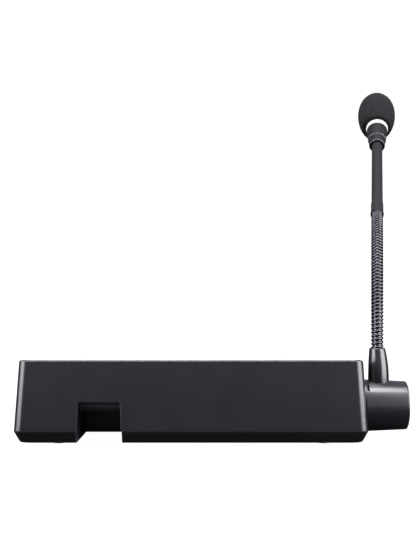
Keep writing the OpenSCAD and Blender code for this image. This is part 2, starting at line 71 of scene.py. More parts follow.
# The gooseneck turns at its pivots, and runs straight along a link from one pivot to the next
pivots = [Vector(joints[f"neck_{kind}_{n}"]["pos_m"]) for n in range(1, 7) for kind in ("bend", "sway")]
stretches = len(pivots)
head_dir = Vector(joints["windscreen_pull"]["axis"]).normalized()
link = (pivots[1] - pivots[0]).length
directions = [UP] + [(b - a).normalized() for a, b in zip(pivots, pivots[1:])] + [head_dir]
neck_foot = pivots[0] - directions[0] * link / 2
neck_tip = pivots[-1] + head_dir * link / 2
neck_side = UP.cross(head_dir).normalized()


def span(node):
    """Where a node of the head starts and ends along the tube, from the gooseneck's end in millimetres."""
    along = [(v.co - neck_tip).dot(head_dir) / MM for v in frame["nodes"][node].data.vertices]
    return min(along), max(along)


# Radii and places along the tube, in millimetres. The foam is egg-shaped and widest at FOAM_WIDE.
# FOAM_REAR and FOAM_FRONT are its half lengths on the two sides of that, and it sits FOAM_ASIDE to
# one side of the tube's line.
NECK_R = 3.85
TUBE_R = 3.8
GRILLE_R = 6.1
RING_R = (7.6, 8.12)
FOAM_R = 14.0
FOAM_REAR = 30.2
FOAM_FRONT = 24.9
FOAM_ASIDE = 0.4
HOLDER_AT = span("head_holder")[0]
HOLDER_STEP = HOLDER_AT + 8.6
TUBE_END = span("upper_tube")[1]
RING_AT, RING_END = span("light_ring")
GRILLE_END = span("capsule_grille")[1]
FOAM_AT, FOAM_END = span("windscreen")
FOAM_WIDE = FOAM_END - FOAM_FRONT


# ---- Camera --------------------------------------------------------------

def make_camera():
    """Level, behind the console and a little to the microphone's side."""
    aside, back, height = 11.45 * MM, 640 * MM, 108.5 * MM
    data = bpy.data.cameras.new("camera")
    data.lens = 71.8
    data.clip_start = 0.01
    camera = bpy.data.objects.new("camera", data)
    camera.location = (console_mid + aside, rear_wall - back, height)
    camera.rotation_euler = (math.pi / 2, 0, 0)
    bpy.context.scene.collection.objects.link(camera)
    bpy.context.scene.camera = camera


make_camera()


# ---- Materials -----------------------------------------------------------

def ramp(tree, value, start, end, low, high):
    """value from start to end becomes low to high."""
    node = tree.nodes.new("ShaderNodeMapRange")
    for key, number in (("From Min", start), ("From Max", end), ("To Min", low), ("To Max", high)):
        node.inputs[key].default_value = number
    tree.links.new(value, node.inputs["Value"])
    return node.outputs["Result"]


class Finish:
    """A material with a Principled surface, and the nodes that vary it."""

    def __init__(self, name, **sockets):
        self.material = bpy.data.materials.new(name)
        self.material.use_nodes = True
        self.tree = self.material.node_tree
        self.surface = self.tree.nodes["Principled BSDF"]
        self.place = self.add("ShaderNodeTexCoord").outputs["Object"]
        for socket, value in sockets.items():
            self.surface.inputs[socket.replace("_", " ")].default_value = value

    def add(self, kind, settings=None, **inputs):
        """A new node. Each input is a value or another node's socket, named with _ for a space."""
        node = self.tree.nodes.new(kind)
        for key, value in (settings or {}).items():
            setattr(node, key, value)
        for key, value in inputs.items():
            socket = node.inputs[key.replace("_", " ")]
            if isinstance(value, bpy.types.NodeSocket):
                self.tree.links.new(value, socket)
            else:
                socket.default_value = value
        return node

    def drive(self, socket, value):
        """Links another node's socket to an input of the surface."""
        self.tree.links.new(value, self.surface.inputs[socket])

    def stretched(self, scale):
        """Places scaled along X, Y and Z, which give a noise its direction."""
        return self.add("ShaderNodeMapping", Vector=self.place, Scale=scale).outputs["Vector"]

    def noise(self, size, detail=3.0, place=None, rough=0.55):
        """Noise whose grains are about size millimetres wide."""
        return self.add("ShaderNodeTexNoise", Vector=place or self.place, Scale=1 / (size * MM),
                        Detail=detail, Roughness=rough).outputs["Fac"]

    def cells(self, size):
        """Distance from the middle of the nearest cell, with cells about size millimetres wide."""
        return self.add("ShaderNodeTexVoronoi", Vector=self.place, Scale=1 / (size * MM)).outputs["Distance"]

    def spread(self, value, low, high, start=0.3, end=0.7):
        """value from start to end becomes low to high. Noise is mostly between 0.3 and 0.7."""
        return ramp(self.tree, value, start, end, low, high)

    def mixed(self, share, first, second):
        """A colour between first and second. The Mix node's colour sockets are 6 and 7, and result 2."""
        node = self.add("ShaderNodeMix", {"data_type": "RGBA"})
        self.tree.links.new(share, node.inputs[0])
        for index, value in ((6, first), (7, second)):
            if isinstance(value, bpy.types.NodeSocket):
                self.tree.links.new(value, node.inputs[index])
            else:
                node.inputs[index].default_value = (*value, 1)
        return node.outputs[2]

    def sum(self, first, second, weight):
        """first and weight times second."""
        node = self.add("ShaderNodeMath", {"operation": "MULTIPLY_ADD"})
        self.tree.links.new(second, node.inputs[0])
        node.inputs[1].default_value = weight
        self.tree.links.new(first, node.inputs[2])
        return node.outputs["Value"]

    def bump(self, height, depth):
        """Raises the surface by up to depth millimetres where height is 1."""
        node = self.add("ShaderNodeBump", Height=height, Distance=depth * MM)
        self.drive("Normal", node.outputs["Normal"])


def shade(colour, factor):
    """The colour made factor times as bright."""
    return tuple(c * factor for c in colour)


def moulded(name, colour, rough, grain, depth, spread=0.12, **sockets):
    """Moulded plastic with a fine spark-eroded grain and slightly uneven gloss."""
    f = Finish(name, **sockets)
    fine = f.noise(grain, detail=2.5)
    broad = f.noise(24, detail=2)
    tone = f.sum(f.spread(fine, 0, 0.5), f.spread(broad, 0, 1), 0.5)
    f.drive("Base Color", f.mixed(tone, shade(colour, 1 - spread), shade(colour, 1 + spread)))
    f.drive("Roughness", f.spread(f.sum(fine, broad, 0.6), rough - 0.04, rough + 0.04, 0.5, 1.1))
    f.bump(fine, depth)
    return f.material


def brushed(name, colour, rough, along):
    """Bright metal with fine lines in one direction and faint handling marks."""
    f = Finish(name, Metallic=1.0)
    lines = f.noise(0.12, detail=3, place=f.stretched(along))
    marks = f.noise(3.5, detail=4)
    f.drive("Base Color", f.mixed(f.spread(lines, 0, 1), shade(colour, 0.82), shade(colour, 1.1)))
    f.drive("Roughness", f.spread(f.sum(lines, marks, 0.7), rough - 0.07, rough + 0.09, 0.55, 1.15))
    f.bump(lines, 0.006)
    return f.material


def foam_finish():
    """Open-cell foam: cell middles painted darker as shade in the hollows, between paler threads, with a soft
    sheen.
    """
    f = Finish("foam", Sheen_Weight=0.015, Sheen_Roughness=0.5, Specular_IOR_Level=0.1)
    pores = f.cells(0.62)
    threads = f.noise(0.34, detail=4, rough=0.7)
    clumps = f.noise(1.2, detail=3)
    # Painted shade: each cell's middle is darker, as shade in the hollow; threads and clumps vary the tone at
    # random.
    light = f.sum(f.spread(pores, 0, 1, 0.1, 0.75), f.spread(threads, 0, 1), 0.8)
    tone = f.sum(f.spread(light, 0, 0.5, 0.3, 1.5), f.spread(clumps, 0, 1, 0.38, 0.62), 0.5)
    f.drive("Base Color", f.mixed(tone, (0.0001, 0.0001, 0.0001), (0.0066, 0.0064, 0.0072)))
    f.drive("Roughness", f.spread(threads, 0.8, 0.98))
    f.bump(light, 0.22)
    return f.material


def wire_finish():
    """Black-plated spring wire: dark mirror with drawing lines and rubbed tops."""
    f = Finish("neck_metal", Metallic=1.0)
    lines = f.noise(0.16, detail=2)
    rubbed = f.noise(2.2, detail=3)
    f.drive("Base Color", f.mixed(f.spread(rubbed, 0, 1), (0.030, 0.030, 0.033), (0.054, 0.054, 0.059)))
    f.drive("Roughness", f.spread(f.sum(lines, rubbed, 0.5), 0.2, 0.32, 0.45, 1.05))
    f.bump(lines, 0.004)
    return f.material


def board_finish():
    """Circuit board: green mask over paler traces and a faint fabric weave."""
    f = Finish("board", Coat_Weight=0.4, Coat_Roughness=0.25)
    tracks = f.add("ShaderNodeTexBrick", {"offset": 0.5, "squash": 1.7}, Vector=f.place, Scale=1 / (9 * MM),
                   Mortar_Size=0.035, Mortar_Smooth=0.3)
    weave = f.cells(0.5)
    body = f.mixed(f.spread(weave, 0, 1), (0.008, 0.06, 0.03), (0.012, 0.085, 0.042))
    f.drive("Base Color", f.mixed(tracks.outputs["Fac"], body, (0.03, 0.2, 0.1)))
    f.drive("Roughness", f.spread(weave, 0.36, 0.46))
    f.bump(f.sum(weave, tracks.outputs["Fac"], 2.0), 0.01)
    return f.material


def paper_finish():
    """Blank label paper with fibres."""
    f = Finish("label_paper", Specular_IOR_Level=0.25)
    fibres = f.noise(0.35, detail=5, place=f.stretched((0.4, 1.6, 1.6)), rough=0.7)
    f.drive("Base Color", f.mixed(f.spread(fibres, 0, 1), (0.68, 0.67, 0.62), (0.82, 0.81, 0.77)))
    f.drive("Roughness", f.spread(fibres, 0.78, 0.92))
    f.bump(fibres, 0.02)
    return f.material


def window_finish():
    """Clear plastic strip with hairline scratches."""
    f = Finish("window_clear", Transmission_Weight=1.0, IOR=1.49)
    scratches = f.noise(0.2, detail=4, place=f.stretched((0.15, 2.0, 2.0)))
    f.drive("Base Color", f.mixed(f.spread(scratches, 0, 1), (0.9, 0.93, 0.94), (0.97, 0.98, 0.98)))
    f.drive("Roughness", f.spread(scratches, 0.03, 0.1))
    f.bump(scratches, 0.002)
    return f.material


def lens_finish(name, colour):
    """Translucent coloured lens with a cloudy inside."""
    f = Finish(name, Subsurface_Weight=0.6, Subsurface_Scale=0.0012, Coat_Weight=0.5, Coat_Roughness=0.1)
    cloud = f.noise(0.9, detail=3)
    f.drive("Base Color", f.mixed(f.spread(cloud, 0, 1), shade(colour, 0.75), shade(colour, 1.15)))
    f.drive("Roughness", f.spread(cloud, 0.2, 0.32))
    f.bump(cloud, 0.01)
    return f.material


finishes = {
    "cover_plastic": moulded("cover_plastic", (0.0036, 0.0035, 0.0042), 0.30, 0.42, 0.008),
    # The pan's colour is darker than the cover's as painted shade on its down-facing bevel.
    "pan_plastic": moulded("pan_plastic", (0.0014, 0.0013, 0.0017), 0.5, 0.5, 0.012,
                           Specular_IOR_Level=0.22),
    "boot_plastic": moulded("boot_plastic", (0.0040, 0.0039, 0.0045), 0.25, 2.6, 0.0005, spread=0.06),
    "foot_rubber": moulded("foot_rubber", (0.75, 0.73, 0.84), 0.6, 0.6, 0.02),
    "screw_steel": brushed("screw_steel", (0.62, 0.62, 0.64), 0.3, (1, 1, 0.2)),
    "ballast_steel": brushed("ballast_steel", (0.42, 0.42, 0.44), 0.42, (0.06, 1, 1)),
    "board": board_finish(),
    "part_plastic": moulded("part_plastic", (0.02, 0.02, 0.023), 0.45, 0.4, 0.012),
    "panel_film": moulded("panel_film", (0.016, 0.016, 0.019), 0.3, 0.35, 0.008),
    "label_paper": paper_finish(),
    "window_clear": window_finish(),
    "lamp_green": lens_finish("lamp_green", (0.1, 0.5, 0.16)),
    "lamp_red": lens_finish("lamp_red", (0.6, 0.08, 0.04)),
    "key_grey": moulded("key_grey", (0.17, 0.17, 0.185), 0.42, 0.35, 0.012),
    "neck_metal": wire_finish(),
    "tube_black": moulded("tube_black", (0.0035, 0.0034, 0.0039), 0.7, 0.3, 0.002, spread=0.06,
                          Specular_IOR_Level=0.16),
    # Painted light: the ring's finish glows by its own emission and stands in for the light that the white plastic
    # catches.
    "ring_white": moulded("ring_white", (0.14, 0.14, 0.13), 0.6, 0.8, 0.002, spread=0.02,
                          Specular_IOR_Level=0.1, Emission_Color=(1, 1, 1, 1), Emission_Strength=0.56),
    "foam": foam_finish(),
    "grille_metal": brushed("grille_metal", (0.13, 0.13, 0.14), 0.38, (1, 1, 0.3)),
    "capsule_metal": brushed("capsule_metal", (0.72, 0.72, 0.74), 0.28, (1, 1, 0.25)),
    "lead_rubber": moulded("lead_rubber", (0.014, 0.014, 0.015), 0.5, 0.5, 0.015),
    "contact_gold": brushed("contact_gold", (0.86, 0.62, 0.24), 0.22, (1, 0.1, 1)),
    "neck_core": moulded("neck_core", (0.006, 0.006, 0.007), 0.6, 0.6, 0.02),
    "holder_matt": moulded("holder_matt", (0.0029, 0.0028, 0.0032), 0.6, 0.3, 0.0005, spread=0.03,
                           Specular_IOR_Level=0.15),
    # A pale painted highlight for the edges of the holder's rear rim and step.
    "painted_edge_highlight": moulded("painted_edge_highlight", (0.023, 0.023, 0.023), 0.5, 0.3, 0.0005, spread=0.1),
}
slot_of = {part["node"]: part["material_slot"] for part in frame["record"]["subparts"]}
for node, slot in slot_of.items():
    slots = frame["nodes"][node].data.materials
    slots.clear()
    slots.append(finishes[slot])


# ---- Mesh tools ----------------------------------------------------------

JOIN = 0.002 * MM  # points nearer than this are one point
FAR = 0.2  # longer than any way out of a part


def piece(name, bm, body=None, nodes=(), finish=None, extra=(), sharp=40):
    """Makes an object of a closed mesh that rides on a body and stands for CAD nodes.

    Its finish is that of its first node, or the named one. extra are the finishes of the faces whose
    material_index is 1 and up, and edges that turn by less than sharp degrees are smooth.
    """
    bmesh.ops.recalc_face_normals(bm, faces=bm.faces)
    for edge in bm.edges:
        edge.smooth = not edge.is_manifold or edge.calc_face_angle() < math.radians(sharp)
    for face in bm.faces:
        face.smooth = True
    mesh = bpy.data.meshes.new(name)
    bm.to_mesh(mesh)
    bm.free()
    finish = finish or slot_of[nodes[0]]
    for key in (finish, *extra):
        mesh.materials.append(finishes[key])
    made = bpy.data.objects.new(name, mesh)
    bpy.context.scene.collection.objects.link(made)
    if nodes:
        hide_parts(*nodes)
    if body:
        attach(made, body)
    return made


def flat_faces_first(made):
    """Keeps wide flat faces flat beside small rounded edges."""
    normals = made.modifiers.new("normals", "WEIGHTED_NORMAL")
    normals.keep_sharp = True
    normals.weight = 50
    return made


def joined_copy(node):
    """A CAD node's mesh with its points joined, and its flat faces whole."""
    bm = bmesh.new()
    bm.from_mesh(frame["nodes"][node].data)
    bmesh.ops.remove_doubles(bm, verts=bm.verts, dist=JOIN)
    bmesh.ops.dissolve_limit(bm, angle_limit=math.radians(0.3), verts=bm.verts, edges=bm.edges)
    return bm


def is_sharp(edge):
    """Whether the faces turn away from each other, as at an outer corner."""
    return edge.is_manifold and edge.calc_face_angle_signed() > math.radians(33)


def eased(name, node, width):
    """A CAD node of the console, with the sharp edges that face open air rounded by width millimetres."""
    bm = joined_copy(node)
    tree = BVHTree.FromBMesh(bm)
    open_edges = []
    for edge in filter(is_sharp, bm.edges):
        out = (edge.link_faces[0].normal + edge.link_faces[1].normal).normalized()
        start = (edge.verts[0].co + edge.verts[1].co) / 2 + out * 0.02 * MM
        if tree.ray_cast(start, out, FAR)[0] is None:
            open_edges.append(edge)
    bmesh.ops.bevel(bm, geom=open_edges, offset=width * MM, segments=3, profile=0.5, affect="EDGES",
                    clamp_overlap=False)
    bmesh.ops.remove_doubles(bm, verts=bm.verts, dist=JOIN)
    flat_faces_first(piece(name, bm, "console", [node]))


def axis_place(origin, direction, side):
    """Local Z along direction, and local X along side."""
    z = direction.normalized()
    x = (side - z * side.dot(z)).normalized()
    return Matrix.Translation(origin) @ Matrix((x, z.cross(x), z)).transposed().to_4x4()


def add_ring(bm, place, points):
    """Points of (x, y, z) in millimetres, added as vertices."""
    return [bm.verts.new(place @ (Vector(point) * MM)) for point in points]


def add_sleeve(bm, rings, index=0):
    """Adds a closed solid through a row of rings of equally many vertices."""
    for low, high in zip(rings, rings[1:]):
        for i in range(len(low)):
            j = (i + 1) % len(low)
            bm.faces.new((low[i], low[j], high[j], high[i])).material_index = index
    for ring in (rings[0], rings[-1]):
        bm.faces.new(ring).material_index = index


def add_turned(bm, outline, place, segments=128):
    """Adds a solid turned round local Z. The outline is a loop of (radius, height), in millimetres."""
    rings = []
    for radius, height in outline:
        count = segments if radius > 0.001 else 1
        angles = [math.tau * i / segments for i in range(count)]
        circle = [(radius * math.cos(a), radius * math.sin(a), height) for a in angles]
        rings.append(add_ring(bm, place, circle))
    for low, high in zip(rings, rings[1:] + rings[:1]):
        if len(low) + len(high) == 2:
            continue
        for i in range(segments):
            j = (i + 1) % segments
            corners = [low[i % len(low)], low[j % len(low)], high[j % len(high)], high[i % len(high)]]
            bm.faces.new(list(dict.fromkeys(corners)))
    return rings


def rounded(points, radius):
    """The loop of points with each corner turned into an arc, smaller where its sides are short."""
    steps = 4
    line = []
    for i, corner in enumerate(points):
        here = Vector(corner)
        before, after = Vector(points[i - 1]) - here, Vector(points[(i + 1) % len(points)]) - here
        bend = before.angle(after)
        on_axis, nearly_straight = corner[0] < 0.001, math.pi - bend < math.radians(12)
        if on_axis or nearly_straight:
            line.append(corner)
            continue
        reach = min(radius / math.tan(bend / 2), before.length * 0.45, after.length * 0.45)
        a, b = here + before.normalized() * reach, here + after.normalized() * reach
        for k in range(steps + 1):
            t = k / steps
            line.append(tuple((1 - t) ** 2 * a + 2 * t * (1 - t) * here + t * t * b))
    return line


def turned(name, outline, place, body, nodes, radius=0.15, segments=128, **options):
    """A turned piece, with the corners of its outline rounded by radius millimetres."""
    bm = bmesh.new()
    add_turned(bm, rounded(outline, radius) if radius else outline, place, segments)
    return flat_faces_first(piece(name, bm, body, nodes, **options))


# ---- Console -------------------------------------------------------------

def make_casing():
    """CAD nodes of the console that need no more than eased edges, with the width in millimetres."""
    eased("cover_shell", "top_cover", 0.3)
    eased("pan_shell", "bottom_pan", 0.2)
    eased("barrel_shell", "mic_barrel", 0.12)
    eased("barrel_end", "barrel_cap", 0.3)
    eased("saddle_shell", "neck_saddle", 0.1)
    eased("panel_overlay", "key_panel", 0.12)
    eased("foot_pads", "rubber_feet", 0.2)
    eased("pan_screw_set", "pan_screws", 0.15)
    eased("barrel_screw_set", "barrel_screws", 0.15)
    eased("board_screw_set", "board_screws", 0.15)
    eased("board_components", "board_parts", 0.2)
    eased("switch_set", "key_switches", 0.2)
    eased("ballast_slab", "ballast_plate", 0.3)
    eased("green_lamps", "zone_lamps", 0.35)
    eased("red_lamps", "status_lamps", 0.35)


def key_outline(half_u, half_v, corner):
    """A rectangle with round corners, as (u, v) points with extra points along its sides."""
    steps, side_steps = 6, 8
    arcs = []
    for quarter, (su, sv) in enumerate(((1, 1), (-1, 1), (-1, -1), (1, -1))):
        angles = [math.radians(90 * (quarter + k / steps)) for k in range(steps + 1)]
        arcs.append([Vector((su * (half_u - corner) + corner * math.cos(a),
                             sv * (half_v - corner) + corner * math.sin(a))) for a in angles])
    line = []
    for arc, next_arc in zip(arcs, arcs[1:] + arcs[:1]):
        line += arc + [arc[-1].lerp(next_arc[0], k / side_steps) for k in range(1, side_steps)]
    return line


def make_key(name, node, corner, dish, stems=(0,), dots=()):
    """A dished key cap with its flange, the stems that press the switches, and any raised dots."""
    rise, cover_wall, gap = 1.8, 2.4, 0.15
    under = rise + cover_wall + gap
    flange, edge_r = 1.2, 0.8
    top_place = axis_place(Vector((0, 0, 0)), -press_dir, Vector((1, 0, 0)))
    local = [top_place.inverted() @ v.co for v in frame["nodes"][node].data.vertices]
    low = Vector([min(p[i] for p in local) for i in range(3)])
    high = Vector([max(p[i] for p in local) for i in range(3)])
    half_u, half_v = ((high - low) / 2 / MM)[:2]
    place = top_place @ Matrix.Translation(((low.x + high.x) / 2, (low.y + high.y) / 2, high.z))

    # Up the flange's side, along the cap's side, and over its round edge
    profile = [(0, -under - flange), (0, -under), (-flange, -under), (-flange, -edge_r - 0.1)]
    profile += [(-flange - edge_r * (1 - math.cos(a)), -edge_r * (1 - math.sin(a)))
                for a in (math.radians(15 * k) for k in range(7))]
    bm = bmesh.new()
    rings = []
    for grow, height in profile:
        line = key_outline(half_u + grow, half_v + grow, corner + max(grow, -corner * 0.4))
        rings.append(add_ring(bm, place, [(u, v, height) for u, v in line]))

    # Down into the dish, to a small flat place in its middle
    dish_u, dish_v = half_u - flange - edge_r, half_v - flange - edge_r
    edge = key_outline(dish_u, dish_v, corner * 0.6)
    for k in range(1, 7):
        inner = [point * (1 - k / 7) for point in edge]
        rings.append(add_ring(bm, place, [(u, v, -dish * (1 - (u / dish_u) ** 2) * (1 - (v / dish_v) ** 2))
                                          for u, v in inner]))
    add_sleeve(bm, rings)

    stem_r, stem_low, stem_high = 1.6, (low.z - high.z) / MM, -under - 0.6
    stem = rounded([(0, stem_low), (stem_r, stem_low), (stem_r, stem_high), (0, stem_high)], 0.3)
    for u in stems:
        add_turned(bm, stem, place @ Matrix.Translation((u * MM, 0, 0)), 32)
    dot = [(0, -0.3), (0.7, -0.3), (0.7, 0.1), (0.35, 0.35), (0, 0.4)]
    for u in dots:
        add_turned(bm, dot, place @ Matrix.Translation((u * MM, 0, -dish * MM)), 24)
    flat_faces_first(piece(name, bm, node, [node]))


def make_keys():
    """Eight zone keys, and the talk key with the three small keys beside it."""
    for n in range(1, 9):
        make_key(f"zone_cap_{n}", f"zone_key_{n}", 1.2, 0.25)
    make_key("talk_cap", "talk_key", 2.0, 0.4, stems=(-12, 12), dots=(-3, 0, 3))
    for name in ("chime", "all_zones", "reset"):
        make_key(f"{name}_cap", f"{name}_key", 1.2, 0.25)


def make_jack():
    """The jack's body with its eight sprung contacts."""
    contacts, pitch, thick, length = 8, 1.02 * MM, 0.35 * MM, 8.5 * MM
    bm = joined_copy("network_jack")
    bmesh.ops.bevel(bm, geom=[e for e in bm.edges if is_sharp(e)], offset=0.25 * MM, segments=2,
                    profile=0.5, affect="EDGES")
    low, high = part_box("network_jack")
    rise = Matrix.Rotation(math.radians(22), 4, "X")
    for n in range(contacts):
        x = (low.x + high.x) / 2 + (n - (contacts - 1) / 2) * pitch
        place = Matrix.Translation((x, low.y + 6 * MM, low.z + 8.1 * MM)) @ rise
        size = Matrix.Diagonal((thick, length, thick, 1))
        made = bmesh.ops.create_cube(bm, size=1, matrix=place @ size)
        for face in {f for v in made["verts"] for f in v.link_faces}:
            face.material_index = 1
    flat_faces_first(piece("jack_body", bm, "console", ["network_jack"], extra=["contact_gold"]))


# ---- Boot and gooseneck --------------------------------------------------

def make_boot():
    """Glossy tapered boot, whose foot leans away from the console."""
    low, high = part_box("neck_boot")[0].z / MM, neck_foot.z / MM
    base_r, top_r, lean_out, shoulder = 6.45, 4.95, 0.74, 0.9
    bore, counterbore = 3.1, 2.5
    steps = 40
    line = [(bore, high - counterbore), (bore, low)]
    line += [(base_r - (base_r - top_r) * (k / steps) ** 2.2, low + (high - shoulder - low) * k / steps)
             for k in range(steps + 1)]
    line += [(top_r - shoulder * (1 - math.cos(a)), high - shoulder * (1 - math.sin(a)))
             for a in (math.radians(15 * k) for k in range(1, 6))]
    line += [(NECK_R + 0.12, high - 0.02), (NECK_R + 0.1, high - counterbore)]
    place = Matrix.Translation((neck_foot.x, neck_foot.y, 0))
    bm = bmesh.new()
    rings = add_turned(bm, line, place, 160)
    for (radius, _), ring in zip(line, rings):
        if radius > top_r:
            for v in ring:
                v.co.x += lean_out * (radius - top_r) / (base_r - top_r) * MM
    piece("boot", bm, "console", ["neck_boot"], sharp=50)


def neck_point(s):
    """Middle and direction of the gooseneck at s, measured from its foot in metres."""
    if s <= 0:
        return neck_foot + directions[0] * s, directions[0]
    if s >= stretches * link:
        return neck_tip + head_dir * (s - stretches * link), head_dir
    k = min(int(s / link), stretches - 1)
    t = s / link - k
    first, second = directions[k], directions[k + 1]
    start = pivots[k] - first * link / 2
    bend = first.angle(second)
    normal = first.cross(second).normalized()
    centre = start + normal.cross(first) * (link / 2 / math.tan(bend / 2))
    turn = Matrix.Rotation(bend * t, 3, normal)
    return centre + turn @ (start - centre), turn @ first


def add_wire(bm, s0, s1, pitch, radius, profile, phase):
    """A wire wound round the gooseneck from s0 to s1; the profile is (outward, along) in millimetres."""
    steps_a_turn = 40
    count = max(2, round((s1 - s0) / pitch * steps_a_turn))
    rings = []
    for n in range(count + 1):
        s = s0 + (s1 - s0) * n / count
        middle, along = neck_point(s)
        a = math.tau * s / pitch + phase
        outward = neck_side * math.cos(a) + along.cross(neck_side) * math.sin(a)
        run = (along.cross(outward) * math.tau * radius * MM + along * pitch).normalized()
        across = run.cross(outward)
        rings.append([bm.verts.new(middle + outward * (radius + out) * MM - across * up * MM)
                      for out, up in profile])
    add_sleeve(bm, rings)


def add_core(bm, s0, s1):
    """The dark liner inside the spiral."""
    radius, steps = 2.3 * MM, 8
    angles = [math.tau * i / 32 for i in range(32)]
    rings = []
    for n in range(steps + 1):
        middle, along = neck_point(s0 + (s1 - s0) * n / steps)
        up = along.cross(neck_side)
        rings.append([bm.verts.new(middle + (neck_side * math.cos(a) + up * math.sin(a)) * radius)
                      for a in angles])
    add_sleeve(bm, rings, index=1)


def make_gooseneck():
    """Stretches of one spiral, each bending between two links of the frame: a round wire and a wedge
    wire between its turns."""
    pitch, wire_r = 2.35 * MM, 0.98
    into_boot, into_sleeve = 2.2 * MM, 3.5 * MM
    angles = [math.tau * i / 12 for i in range(12)]
    round_wire = [(wire_r * math.cos(a), wire_r * math.sin(a)) for a in angles]
    wedge = [(0.2, -0.42), (0.2, 0.42), (-0.75, 0.06), (-0.75, -0.06)]
    for k in range(stretches):
        first, last = k == 0, k == stretches - 1
        s0 = -into_boot if first else k * link
        s1 = stretches * link + into_sleeve if last else (k + 1) * link
        bm = bmesh.new()
        add_wire(bm, s0, s1, pitch, NECK_R - wire_r, round_wire, 0)
        add_wire(bm, s0, s1, pitch, NECK_R - wire_r, wedge, math.pi)
        add_core(bm, s0, s1)
        nodes = [] if first else [f"neck_link_{k}"]
        made = piece(f"spiral_{k + 1}", bm, None, nodes, finish="neck_metal", extra=["neck_core"])
        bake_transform(made)
        if last:
            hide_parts("neck_end")


def make_shank():
    """The gooseneck's threaded end, below the boot's top. Each ridge stands for a turn of the thread."""
    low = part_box("neck_stub")[0].z / MM
    high = neck_foot.z / MM - 2.3
    pitch, root_r, crest_r = 0.8, 2.75, 3.0
    line = [(0, low), (root_r - 0.05, low)]
    for n in range(int((high - low - 2) / pitch)):
        at = low + 0.6 + pitch * n
        line += [(root_r, at), (crest_r, at + 0.3), (crest_r, at + 0.4), (root_r, at + 0.7)]
    line += [(crest_r, high), (0, high)]
    turned("shank", line, Matrix.Translation((neck_foot.x, neck_foot.y, 0)), "console", ["neck_stub"],
           radius=0, segments=64)


# ---- Head ----------------------------------------------------------------

head_place = axis_place(neck_tip, head_dir, neck_side)


def turned_head(name, outline, node, **options):
    """A turned piece of the head, round the tube's line."""
    return turned(name, outline, head_place, "head", [node], **options)


def make_tube():
    """The ferrule over the gooseneck's end, and the tube that stands in it."""
    stop, sleeve_end, collar_r, bore = 5.1, 13, 4.42, NECK_R + 0.07
    turned_head("sleeve", [(bore, 0), (4.2, 0), (collar_r, 0.3), (collar_r, 1.6), (4.15, 3.4),
                           (4.15, sleeve_end - 0.3), (4.0, sleeve_end), (TUBE_R + 0.02, sleeve_end),
                           (TUBE_R + 0.02, stop), (bore, stop)],
                "neck_sleeve", radius=0.1)
    start = stop + 0.05
    turned_head("tube", [(3.0, start), (TUBE_R, start), (TUBE_R, TUBE_END), (3.0, TUBE_END)],
                "upper_tube", radius=0.2)


def make_holder():
    """Holder that widens towards the ring, with a step, and pale painted highlights on the edges of its rear rim
    and step.
    """
    bore, wide_bore, wide_from, rim_r = TUBE_R + 0.85, 6.3, HOLDER_AT + 14, 5.75
    made = turned_head("holder", [(bore, HOLDER_AT), (rim_r - 0.35, HOLDER_AT), (rim_r, HOLDER_AT + 0.5),
                                  (6.2, HOLDER_STEP - 0.3), (6.65, HOLDER_STEP), (RING_R[0], RING_AT),
                                  (wide_bore, RING_AT), (wide_bore, wide_from), (bore, wide_from)],
                       "head_holder", radius=0.18, finish="holder_matt", extra=["painted_edge_highlight"])
    # Faces at the rear rim and the step get the pale finish: a painted highlight where those edges catch the
    # light.
    for face in made.data.polygons:
        place = head_place.inverted() @ face.center / MM
        radius = math.hypot(place.x, place.y)
        at_rim = place.z < HOLDER_AT + 0.5 and radius > rim_r - 0.4
        at_step = HOLDER_STEP - 0.35 < place.z < HOLDER_STEP + 0.1 and radius > 6.2
        face.material_index = 1 if at_rim or at_step else 0


def make_ring():
    """White ring between the holder and the foam; its finish's emission makes it glow as painted light."""
    bore = GRILLE_R + 0.1
    turned_head("glow_ring", [(bore, RING_AT), (RING_R[0], RING_AT), (RING_R[1], RING_END - 0.2),
                              (RING_R[1], RING_END), (bore, RING_END)], "light_ring", radius=0.12)


def make_capsule():
    """The capsule with its crimped rim, and the soft sleeve that holds it in the grille."""
    can_r, back, front = 4.85, RING_END + 1.5, RING_END + 7.5
    turned_head("capsule_can", [(0, back), (can_r, back), (can_r, front), (can_r - 0.55, front),
                                (can_r - 0.65, front - 0.3), (0, front - 0.3)],
                "capsule", radius=0.3, segments=96)
    inner, outer, end = can_r + 0.05, GRILLE_R - 0.55, RING_END + 9
    turned_head("capsule_sleeve", [(inner, RING_END), (outer, RING_END), (outer, end), (inner, end)],
                "capsule_boot", radius=0.2, segments=96)


def add_pierced_cell(bm, corner_of, hole, wall):
    """One square of sheet with a round hole. corner_of(u, v, depth) gives a point; u and v are 0 to 1."""
    rim = [(0, 0), (0.5, 0), (1, 0), (1, 0.5), (1, 1), (0.5, 1), (0, 1), (0, 0.5)]
    angles = [math.atan2(v - 0.5, u - 0.5) for u, v in rim]
    loops = []
    for depth in (0, wall):
        loops.append([bm.verts.new(corner_of(u, v, depth)) for u, v in rim])
        loops.append([bm.verts.new(corner_of(0.5 + hole * math.cos(a), 0.5 + hole * math.sin(a), depth))
                      for a in angles])
    outer, hole_out, inner, hole_in = loops
    for i in range(8):
        j = (i + 1) % 8
        bm.faces.new((outer[i], outer[j], hole_out[j], hole_out[i]))
        bm.faces.new((inner[j], inner[i], hole_in[i], hole_in[j]))
        bm.faces.new((hole_out[i], hole_out[j], hole_in[j], hole_in[i]))


